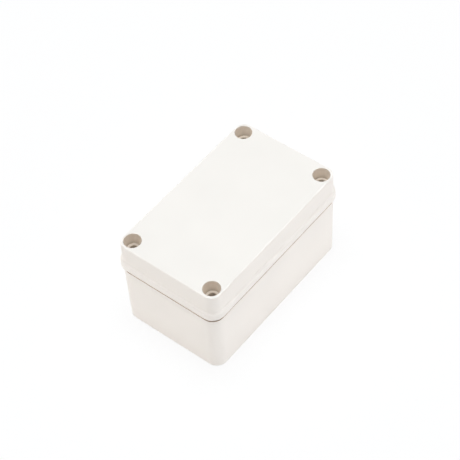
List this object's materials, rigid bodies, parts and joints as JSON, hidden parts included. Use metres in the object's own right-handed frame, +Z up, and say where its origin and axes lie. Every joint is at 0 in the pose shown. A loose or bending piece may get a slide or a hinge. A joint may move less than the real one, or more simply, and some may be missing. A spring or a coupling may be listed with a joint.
{
  "type": "plastic project box",
  "caption": "Sealed two-piece plastic project box with a stepped lid rim, a gasket, corner screw wells and threaded inserts in the corner posts.",
  "frame": {"origin": "under the middle of the base, on the plane it stands on", "axes": "+X along the length, +Y along the width, +Z up through the lid"},
  "size_m": [0.13, 0.08, 0.072],
  "materials": {
    "base_shell": "fine satin moulded texture, warm off-white",
    "lid_shell": "fine satin moulded texture, warm off-white",
    "seal": "matt foamed rubber",
    "brass_insert": "turned and knurled"
  },
  "bodies": {
    "base": {"base": "base_shell", "insert_front_left": "brass_insert", "insert_front_right": "brass_insert", "insert_rear_left": "brass_insert", "insert_rear_right": "brass_insert"},
    "lid": {"lid": "lid_shell", "gasket": "seal"}
  },
  "joints": [
    {"name": "lid_lift", "type": "slide", "parent": "base", "child": "lid", "axis": [0, 0, 1], "range_m": [0, 0.09]}
  ]
}
